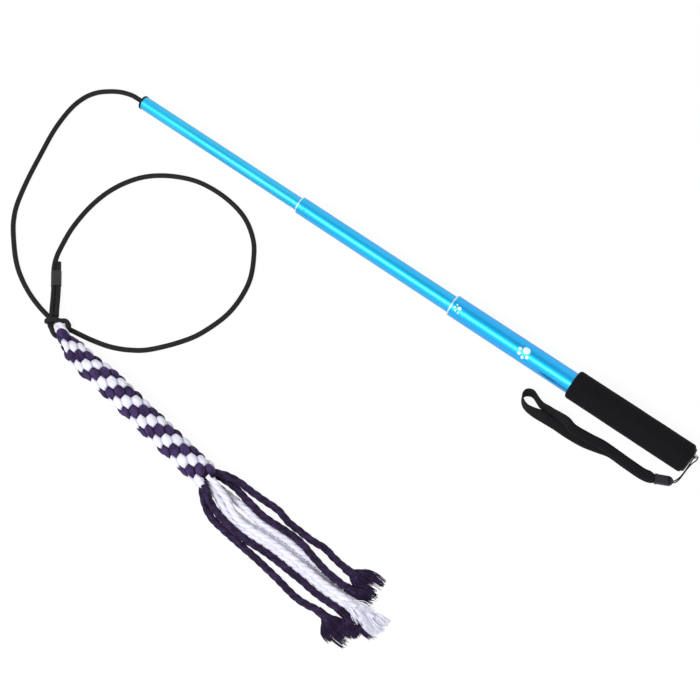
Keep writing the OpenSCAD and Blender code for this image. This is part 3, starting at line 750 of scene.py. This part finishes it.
# %% Webbing piece
web_thick = 1.2
web_width = 10.0
web_end_width = 7.2
edge_from, edge_thinned = 0.9, 0.5
WEB_SIDES = 32
low, high, low_in, high_in = 0.7, 2.1, 1.6, 3.0
web_run = [
    (11.6, 28.15, low_in, 0.44, -0.9, 0), (16.9, 30.75, low_in, 0.44, -0.9, 0),
    (21, 33.4, 1.3, 0.36, -0.93, 0), (29.7, 34.9, 0.8, 0.15, -0.99, 0), (48.2, 34.6, low, 0, -1, 0),
    (61.2, 34.2, low, 0, -1, 0), (72.2, 37, low, 0, -1, 0), (85.2, 40, low, 0, -1, 0),
    (100.2, 41.1, low, 0, -1, 0), (113.2, 41, low, 0.02, -1, 0.03), (120.2, 41.4, low, 0.05, -0.99, 0.1),
    (125.2, 41.7, low, 0.1, -0.93, 0.35), (130.2, 41.9, low, 0.15, -0.76, 0.63),
    (135.2, 41.9, low, 0.2, -0.52, 0.83), (141.2, 41.2, low, 0.22, -0.32, 0.93),
    (146.2, 39.4, low, 0.22, -0.32, 0.93), (149.7, 36.2, low, 0.22, -0.32, 0.93),
    (150.8, 32.6, low, 0.22, -0.32, 0.93), (149.6, 29.4, low, 0.22, -0.32, 0.93),
    (146.8, 27.4, low, 0.22, -0.32, 0.93), (143.2, 27, low, 0.22, -0.32, 0.93),
    (139.2, 28.7, low, 0.22, -0.32, 0.93), (134.2, 31, low, 0.22, -0.34, 0.92),
    (129.7, 31.8, low, 0.22, -0.34, 0.92), (125.2, 31.3, low, 0.22, -0.34, 0.92),
    (120.2, 32, 2.3, 0.2, -0.36, 0.91), (113.2, 33, high, 0.15, -0.6, 0.78),
    (106.2, 34.4, high, 0.08, -0.87, 0.48), (99.2, 36.2, high, 0, -1, 0.05),
    (85.2, 35.2, high, 0, -1, 0), (72.2, 33.6, high, 0, -1, 0), (61.2, 33.7, high, 0, -1, 0),
    (48.2, 34.2, high, 0, -1, 0), (29.7, 34.5, 2.2, 0.15, -0.99, 0), (21, 33, 2.6, 0.36, -0.93, 0),
    (16.9, 30.65, high_in, 0.44, -0.9, 0), (11.6, 28.05, high_in, 0.44, -0.9, 0)]
near_edge = [Vector((bar_x + q[0], q[1], floor + q[2])) * MM for q in web_run]
far_edge = []
for i, q in enumerate(web_run):
    narrow = i < 2 or i > len(web_run) - 3
    wide = web_end_width if narrow else web_width
    far_edge.append(near_edge[i] + Vector(q[3:]).normalized() * wide * MM)
near_line, far_line = smooth(near_edge, 5), smooth(far_edge, 5)
web_rings, walked = [], 0.0
for i, (a, b) in enumerate(zip(near_line, far_line)):
    j, k = max(i - 1, 0), min(i + 1, len(near_line) - 1)
    ahead = (near_line[k] + far_line[k] - near_line[j] - far_line[j]).normalized()
    across = (b - a).normalized()
    walked += ((a + b) / 2 - (near_line[i - 1] + far_line[i - 1]) / 2).length if i else 0.0
    web_rings.append(((a + b) / 2, across, across.cross(ahead).normalized(), walked, (b - a).length))
web_half = {ring[3]: ring[4] / 2 for ring in web_rings}


def ribbon_section(s, a):
    x, y = math.cos(a), math.sin(a)
    square = max(abs(x), abs(y))
    across = math.copysign(min(abs(x) / square, 1.0), x)
    edge = 1 - edge_thinned * max(0.0, (abs(across) - edge_from) / (1 - edge_from)) ** 2
    height = math.copysign(min(abs(y) / square, 1.0), y) * edge * web_thick / 2 * MM
    return across * web_half[s], height


stock = new_stock()
web_round = 2 * (web_width + web_thick) * MM
sweep(stock, None, ribbon_section, WEB_SIDES, web_round, [ring[:4] for ring in web_rings])
strap_webbing = piece("strap_ribbon", stock, webbing, "strap")
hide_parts("strap_webbing")
print("webbing", round(walked, 3), "m long")

# %% [markdown]
# ## The clip
# The webbing's ends sit in a small moulded clip. Its outline is lofted from the mouth to the rounded nose: a
# collar stands round the mouth, the mouth is sunk, and a window on top shows where the string is knotted.

# %% Clip
CLIP_SIDES = 48
clip_turn = math.radians(26)
clip_at = Vector((bar_x + 18.5, 27.5, floor + clip_mid))
clip_ahead = Vector((-math.cos(clip_turn), -math.sin(clip_turn), 0))
clip_side = Vector((clip_ahead.y, -clip_ahead.x, 0))
clip_length, clip_half_width, clip_half_thick = 16.0, 4.6, 2.3
clip_corner = 0.4
nose_from = clip_length - clip_half_width
nose_stop, nose_slope = 0.985, 0.35
collar_length, collar_step = 1.8, 0.25
mouth_share, mouth_depth = 0.8, 1.2
window_from, window_to = 10.8, 13.0
window_half, window_depth = 3.2, 1.7


def clip_ring(u):
    wide, thick = clip_half_width, clip_half_thick
    if u > nose_from:
        out = min((u - nose_from) / clip_half_width, nose_stop)
        wide = clip_half_width * math.sqrt(1 - out * out)
        thick = clip_half_thick * (1 - nose_slope * out * out)
    slim = 0.0 if u < collar_length else collar_step
    ring = []
    for k in range(CLIP_SIDES):
        a = 2 * math.pi * k / CLIP_SIDES
        x = math.copysign(abs(math.cos(a)) ** clip_corner, math.cos(a)) * (wide - slim)
        z = math.copysign(abs(math.sin(a)) ** clip_corner, math.sin(a)) * (thick - slim)
        if window_from < u < window_to and z > 0 and abs(x) < window_half:
            z -= window_depth
        ring.append(clip_at + clip_ahead * u + clip_side * x + Vector((0, 0, z)))
    return ring


stations = [
    0.0, 0.3, collar_length - 0.01, collar_length + 0.25, 6.0, window_from - 0.01, window_from + 0.1, 12.0,
    window_to - 0.1, window_to + 0.01, 13.6, 14.2, 14.8, 15.3, 15.7, clip_length]
mouth = clip_ring(0.0)
mouth_mid = sum(mouth, Vector()) / len(mouth)
lip = [mouth_mid + (p - mouth_mid) * mouth_share for p in mouth]
sunk = [p + clip_ahead * mouth_depth for p in lip]
rings = [sunk, lip] + [clip_ring(u) for u in stations]
clip_stock = new_stock()
clip_stock["verts"] = [p * MM for ring in rings for p in ring]
clip_stock["crease_shades"] = [0.0] * len(clip_stock["verts"])
clip_stock["faces"] = walls(0, len(rings), CLIP_SIDES) + caps(0, len(rings), CLIP_SIDES)
clip_stock["uvs"] = [(0.0, 0.0)] * sum(len(face) for face in clip_stock["faces"])
print("clip", clip_length, "mm long,", len(rings), "rings")

# %% [markdown]
# ## The foam grip
# The grip is a sleeve of closed-cell foam. It is turned from a profile with soft edges, and a slow unevenness
# of a tenth of a millimetre keeps it from looking machined. Its finish is dull, with the cut cells as fine
# pits.

# %% Closed-cell foam finish
MOTTLE_MM = 3.846


def closed_cell_foam(name, cell_mm, dark, light):
    material, tree = start_finish(name)
    place = add(tree, "ShaderNodeTexCoord").outputs["Object"]
    cells = add(tree, "ShaderNodeTexVoronoi", {"Vector": place, "Scale": per_metre(cell_mm)})
    mottle = add(tree, "ShaderNodeTexNoise", {"Vector": place, "Scale": per_metre(MOTTLE_MM), "Detail": 4.0})
    colour = add(tree, "ShaderNodeMix", {0: mottle.outputs[0], 6: linear(dark), 7: linear(light)},
                 data_type="RGBA")
    bump = add(tree, "ShaderNodeBump", {"Strength": 0.35, "Distance": 0.25 * MM, "Height": cells.outputs[0]})
    end_finish(tree, Base_Color=colour.outputs[2], Roughness=0.85, Specular_IOR_Level=0.12,
               Normal=bump.outputs[0])
    return material


foam = closed_cell_foam("EVA foam, closed cell", 0.7, "#0d0d10", "#151519")

# %% Grip
GRIP_SIDES = 72
BARREL_STEPS = 48
grip_low, grip_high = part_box("grip")
grip_r = (grip_high.z - grip_low.z) / 2
tube_r = (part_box("base_tube")[1].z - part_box("base_tube")[0].z) / 2
edge_r = 3.0 * MM
end_inset = 0.4 * MM
tube_gap = 0.1 * MM
uneven, uneven_run, uneven_round = 0.1, 60, 3
edge_turns = [math.radians(d) for d in range(5, 90, 12)]
edge = [(edge_r * (1 - math.cos(a)), grip_r - edge_r * (1 - math.sin(a))) for a in edge_turns]
flat = grip_high.x - grip_low.x - 2 * edge_r
profile = [(grip_low.x + end_inset, tube_r + tube_gap)]
profile += [(grip_low.x + x, r) for x, r in edge]
profile += [(grip_low.x + edge_r + flat * i / BARREL_STEPS, grip_r) for i in range(BARREL_STEPS + 1)]
profile += [(grip_high.x - x, r) for x, r in reversed(edge)]
profile += [(grip_high.x - end_inset, tube_r + tube_gap)]
stock = new_stock()
for x, r in profile:
    for k in range(GRIP_SIDES):
        a = 2 * math.pi * k / GRIP_SIDES
        swell_at = Vector((x * uneven_run, uneven_round * math.cos(a), uneven_round * math.sin(a)))
        wobble = noise.noise(swell_at) * uneven * MM
        swollen = r + wobble - uneven * MM if r > tube_r + 1 * MM else r
        stock["verts"].append(Vector((x, swollen * math.sin(a), swollen * math.cos(a))))
stock["faces"] = walls(0, len(profile), GRIP_SIDES)
for (x0, _), (x1, _) in zip(profile, profile[1:]):
    for k in range(GRIP_SIDES):
        v0, v1 = k * MM, (k + 1) * MM
        stock["uvs"] += [(x0, v0), (x1, v0), (x1, v1), (x0, v1)]
grip = piece("grip_sleeve", stock, foam, "handle")
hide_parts("grip")
print("grip", round((grip_high.x - grip_low.x) / MM, 1), "mm long")

# %% [markdown]
# ## Hard finishes
# The tubes are drawn aluminium, dyed blue in the anodising bath and sealed. The dye tints the metal's own
# reflection, so the finish is a coloured metal below a clear seal. Drawing leaves faint lines along the
# tube, which are coarser here than on the real one, to show at all. The mouth is bevelled after the bath,
# which leaves a bright ring of bare metal.

# %% Anodised aluminium
LINE_MM, LINE_RUN_MM = 0.625, 83.33
CLOUD_MM = 22.22


def paw_print(tree, place, radius_mm, toes):
    xyz = add(tree, "ShaderNodeSeparateXYZ", {0: place}).outputs
    turn = add(tree, "ShaderNodeMath", {0: xyz[1], 1: xyz[2]}, operation="ARCTAN2")
    arc = add(tree, "ShaderNodeMath", {0: turn.outputs[0], 1: radius_mm * MM}, operation="MULTIPLY")
    flat = add(tree, "ShaderNodeCombineXYZ", {0: xyz[0], 1: arc.outputs[0]}).outputs[0]
    inked = 0.0
    for x, y, rx, ry in toes:
        off = add(tree, "ShaderNodeVectorMath", {0: flat, 1: (x * MM, y * MM, 0)}, operation="SUBTRACT")
        sized = add(tree, "ShaderNodeVectorMath", {0: off.outputs[0], 1: (rx * MM, ry * MM, 1)},
                    operation="DIVIDE")
        far = add(tree, "ShaderNodeVectorMath", {0: sized.outputs[0]}, operation="LENGTH")
        spot = add(tree, "ShaderNodeMapRange", {0: far.outputs["Value"], 1: 0.9, 2: 1.05, 3: 1.0, 4: 0.0})
        inked = add(tree, "ShaderNodeMath", {0: inked, 1: spot.outputs[0]}, operation="MAXIMUM").outputs[0]
    on_top = add(tree, "ShaderNodeMath", {0: xyz[2], 1: 0.0}, operation="GREATER_THAN")
    return add(tree, "ShaderNodeMath", {0: inked, 1: on_top.outputs[0]}, operation="MULTIPLY").outputs[0]


def anodised(name, dyes, radius_mm, bare_from_mm, toes):
    material, tree = start_finish(name)
    place = add(tree, "ShaderNodeTexCoord").outputs["Object"]
    along_tube = (per_metre(LINE_RUN_MM), per_metre(LINE_MM), per_metre(LINE_MM))
    drawn = add(tree, "ShaderNodeMapping", {"Vector": place, "Scale": along_tube})
    lines = add(tree, "ShaderNodeTexNoise", {"Vector": drawn.outputs[0], "Scale": 1.0, "Detail": 2.0})
    cloud = add(tree, "ShaderNodeTexNoise", {"Vector": place, "Scale": per_metre(CLOUD_MM), "Detail": 2.0})
    colour = add(tree, "ShaderNodeMix", {0: cloud.outputs[0], 6: linear(dyes[0]), 7: linear(dyes[1])},
                 data_type="RGBA").outputs[2]
    metal = 1.0
    if bare_from_mm:
        x = add(tree, "ShaderNodeSeparateXYZ", {0: place}).outputs[0]
        bare = add(tree, "ShaderNodeMath", {0: x, 1: bare_from_mm * MM}, operation="GREATER_THAN")
        colour = add(tree, "ShaderNodeMix", {0: bare.outputs[0], 6: colour, 7: linear("#f1f5f7")},
                     data_type="RGBA").outputs[2]
    if toes:
        ink = paw_print(tree, place, radius_mm, toes)
        colour = add(tree, "ShaderNodeMix", {0: ink, 6: colour, 7: linear("#eef8fc")},
                     data_type="RGBA").outputs[2]
        metal = add(tree, "ShaderNodeMath", {0: 1.0, 1: ink}, operation="SUBTRACT").outputs[0]
    gloss = add(tree, "ShaderNodeMapRange", {0: lines.outputs[0], 1: 0.3, 2: 0.7, 3: 0.38, 4: 0.46})
    bump = add(tree, "ShaderNodeBump", {"Strength": 0.05, "Distance": 0.05 * MM, "Height": lines.outputs[0]})
    end_finish(tree, Base_Color=colour, Metallic=metal, Roughness=gloss.outputs[0],
               Specular_Tint=linear("#2f86b8"), Coat_Weight=0.8, Coat_Roughness=0.15, Normal=bump.outputs[0])
    return material


# Each toe of a print: place along the tube, place round it, half length and half width
paws = [
    (107, 2, 3.6, 3.1), (112.8, 3.4, 1.7, 1.4), (111.6, 7.6, 1.6, 1.5), (107.4, 9.4, 1.5, 1.6),
    (103.6, 7.2, 1.5, 1.5), (177.6, 3.4, 1.9, 1.7), (181.2, 1.6, 0.8, 0.9), (181.8, 4.4, 0.8, 0.9),
    (180.2, 7, 0.9, 0.8), (177, 7.6, 0.8, 0.8)]
bright_edge_mm = 1.3
tubes = (
    ("base_tube", ("#02aef0", "#0cb8fc"), True, paws), ("middle_tube", ("#08b6f0", "#14c0fc"), True, []),
    ("tip_tube", ("#18bef0", "#26caf8"), False, []))
for name, dyes, has_bright_mouth, toes in tubes:
    low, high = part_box(name)
    bare_from = high.x / MM - bright_edge_mm if has_bright_mouth else None
    finish = anodised("aluminium, blue anodised, " + name, dyes, (high.z - low.z) / 2 / MM, bare_from, toes)
    nodes[name].data.materials.clear()
    nodes[name].data.materials.append(finish)
print("anodised:", ", ".join(row[0] for row in tubes))

# %% Moulded plastics, wire and sleeve
GLOSS_SPREAD = 0.06
SCRATCH_MM = 1.111


def moulded(name, dark, light, rough, grain_mm, shine):
    material, tree = start_finish(name)
    place = add(tree, "ShaderNodeTexCoord").outputs["Object"]
    grain = add(tree, "ShaderNodeTexNoise", {"Vector": place, "Scale": per_metre(grain_mm), "Detail": 3.0})
    colour = add(tree, "ShaderNodeMix", {0: grain.outputs[0], 6: linear(dark), 7: linear(light)},
                 data_type="RGBA")
    gloss = add(tree, "ShaderNodeMapRange", {
        0: grain.outputs[0], 1: 0.3, 2: 0.7, 3: rough - GLOSS_SPREAD, 4: rough + GLOSS_SPREAD})
    bump = add(tree, "ShaderNodeBump", {"Strength": 0.12, "Distance": 0.05 * MM, "Height": grain.outputs[0]})
    end_finish(tree, Base_Color=colour.outputs[2], Roughness=gloss.outputs[0], Specular_IOR_Level=shine,
               Normal=bump.outputs[0])
    return material


def drawn_wire(name):
    material, tree = start_finish(name)
    place = add(tree, "ShaderNodeTexCoord").outputs["Object"]
    scratches = add(tree, "ShaderNodeTexNoise", {
        "Vector": place, "Scale": per_metre(SCRATCH_MM), "Detail": 2.0})
    gloss = add(tree, "ShaderNodeMapRange", {0: scratches.outputs[0], 1: 0.3, 2: 0.7, 3: 0.2, 4: 0.36})
    end_finish(tree, Base_Color=linear("#a9a9ad"), Metallic=1.0, Roughness=gloss.outputs[0])
    return material


hard_finishes = {
    "black_plastic": moulded("polypropylene, moulded black", "#0c0c0e", "#141416", 0.42, 0.5, 0.2),
    "wire": drawn_wire("steel wire, drawn and plated"),
    "nylon": moulded("nylon, natural", "#d8d6cf", "#e6e4de", 0.5, 0.6, 0.5),
    "sleeve": moulded("polyolefin, shrunk on", "#1c1b1f", "#29282d", 0.4, 0.9, 0.45),
    "clip_plastic": moulded("ABS, moulded dark grey", "#232128", "#302e36", 0.36, 0.4, 0.35),
    "elastic_cord": cord_cover}
strap_clip = piece("strap_clip_shell", clip_stock, hard_finishes["clip_plastic"], "strap")
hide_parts("strap_clip")
strap_clip.data.set_sharp_from_angle(angle=math.radians(35))
for part in frame["record"]["subparts"]:
    finish = hard_finishes.get(part["material_slot"])
    if finish:
        nodes[part["node"]].data.materials.clear()
        nodes[part["node"]].data.materials.append(finish)
print("hard finishes:", ", ".join(m.name for m in hard_finishes.values()))

# %% [markdown]
# ## Floor and light
# A plain white floor fills the view. Seen by the camera or in a reflection it is mostly its own white, so the
# picture stays bright without more light on the pole, and it still takes a faint shadow. One long soft lamp
# beside the camera makes the streak on the tubes, and the white surroundings fill in the rest.

# %% Floor
def directly_seen(tree):
    ray = add(tree, "ShaderNodeLightPath").outputs
    seen = add(tree, "ShaderNodeMath", {0: ray["Is Camera Ray"], 1: ray["Is Glossy Ray"]}, operation="ADD")
    return add(tree, "ShaderNodeMath", {0: seen.outputs[0], 1: ray["Is Transmission Ray"]},
               operation="ADD", use_clamp=True).outputs[0]


WHITE = (1.0, 1.0, 1.0, 1.0)
PAPER = (0.9, 0.9, 0.9, 1.0)
GLOW = 1.03
GLOW_SHARE = 0.9
floor_half = 3.0
floor_drop = 0.1
corners = [(x * floor_half, y * floor_half, floor_z - floor_drop * MM)
           for x, y in ((-1, -1), (1, -1), (1, 1), (-1, 1))]
floor_mesh = bpy.data.meshes.new("floor")
floor_mesh.from_pydata(corners, [], [(0, 1, 2, 3)])
floor_sheet = bpy.data.objects.new("floor", floor_mesh)
bpy.context.scene.collection.objects.link(floor_sheet)
paper, tree = start_finish("white paper floor")
matte = add(tree, "ShaderNodeBsdfDiffuse", {"Color": PAPER})
glow = add(tree, "ShaderNodeEmission", {"Color": WHITE, "Strength": GLOW})
share = add(tree, "ShaderNodeMath", {0: directly_seen(tree), 1: GLOW_SHARE}, operation="MULTIPLY")
mixed = add(tree, "ShaderNodeMixShader", {0: share.outputs[0], 1: matte.outputs[0], 2: glow.outputs[0]})
add(tree, "ShaderNodeOutputMaterial", {"Surface": mixed.outputs[0]})
floor_mesh.materials.append(paper)
print("floor", 2 * floor_half, "m wide")

# %% World and lamp
AMBIENT = 0.64
OVERHEAD, OVERHEAD_FROM, OVERHEAD_TO = 0.45, 0.82, 0.94
world = bpy.data.worlds.new("white surroundings")
bpy.context.scene.world = world
world.use_nodes = True
world.node_tree.nodes.clear()
tree = world.node_tree
strength = add(tree, "ShaderNodeMapRange", {0: directly_seen(tree), 3: AMBIENT, 4: 1.0})
toward = add(tree, "ShaderNodeSeparateXYZ", {0: add(tree, "ShaderNodeTexCoord").outputs["Generated"]})
overhead = add(tree, "ShaderNodeMapRange", {
    0: toward.outputs[2], 1: OVERHEAD_FROM, 2: OVERHEAD_TO, 3: 1.0, 4: OVERHEAD})
level = add(tree, "ShaderNodeMath", {0: strength.outputs[0], 1: overhead.outputs[0]}, operation="MULTIPLY")
sky = add(tree, "ShaderNodeBackground", {"Color": WHITE, "Strength": level.outputs[0]})
add(tree, "ShaderNodeOutputWorld", {"Surface": sky.outputs[0]})

lamp_data = bpy.data.lights.new("soft lamp", "AREA")
lamp_data.shape = "RECTANGLE"
lamp_data.size = 1.3
lamp_data.size_y = 0.4
lamp_data.energy = 10.5
lamp = bpy.data.objects.new("soft lamp", lamp_data)
lamp_aim = Vector((0.24, 0.08, 0))
lamp.location = lamp_aim + Vector((0.1, 0.74, 0.95))
lamp.rotation_euler = (lamp_aim - lamp.location).to_track_quat("-Z", "Y").to_euler()
bpy.context.scene.collection.objects.link(lamp)
bpy.context.scene.view_settings.view_transform = "Standard"
print("lamp", lamp_data.size, "by", round(lamp_data.size_y, 2), "m,", lamp_data.energy, "W")
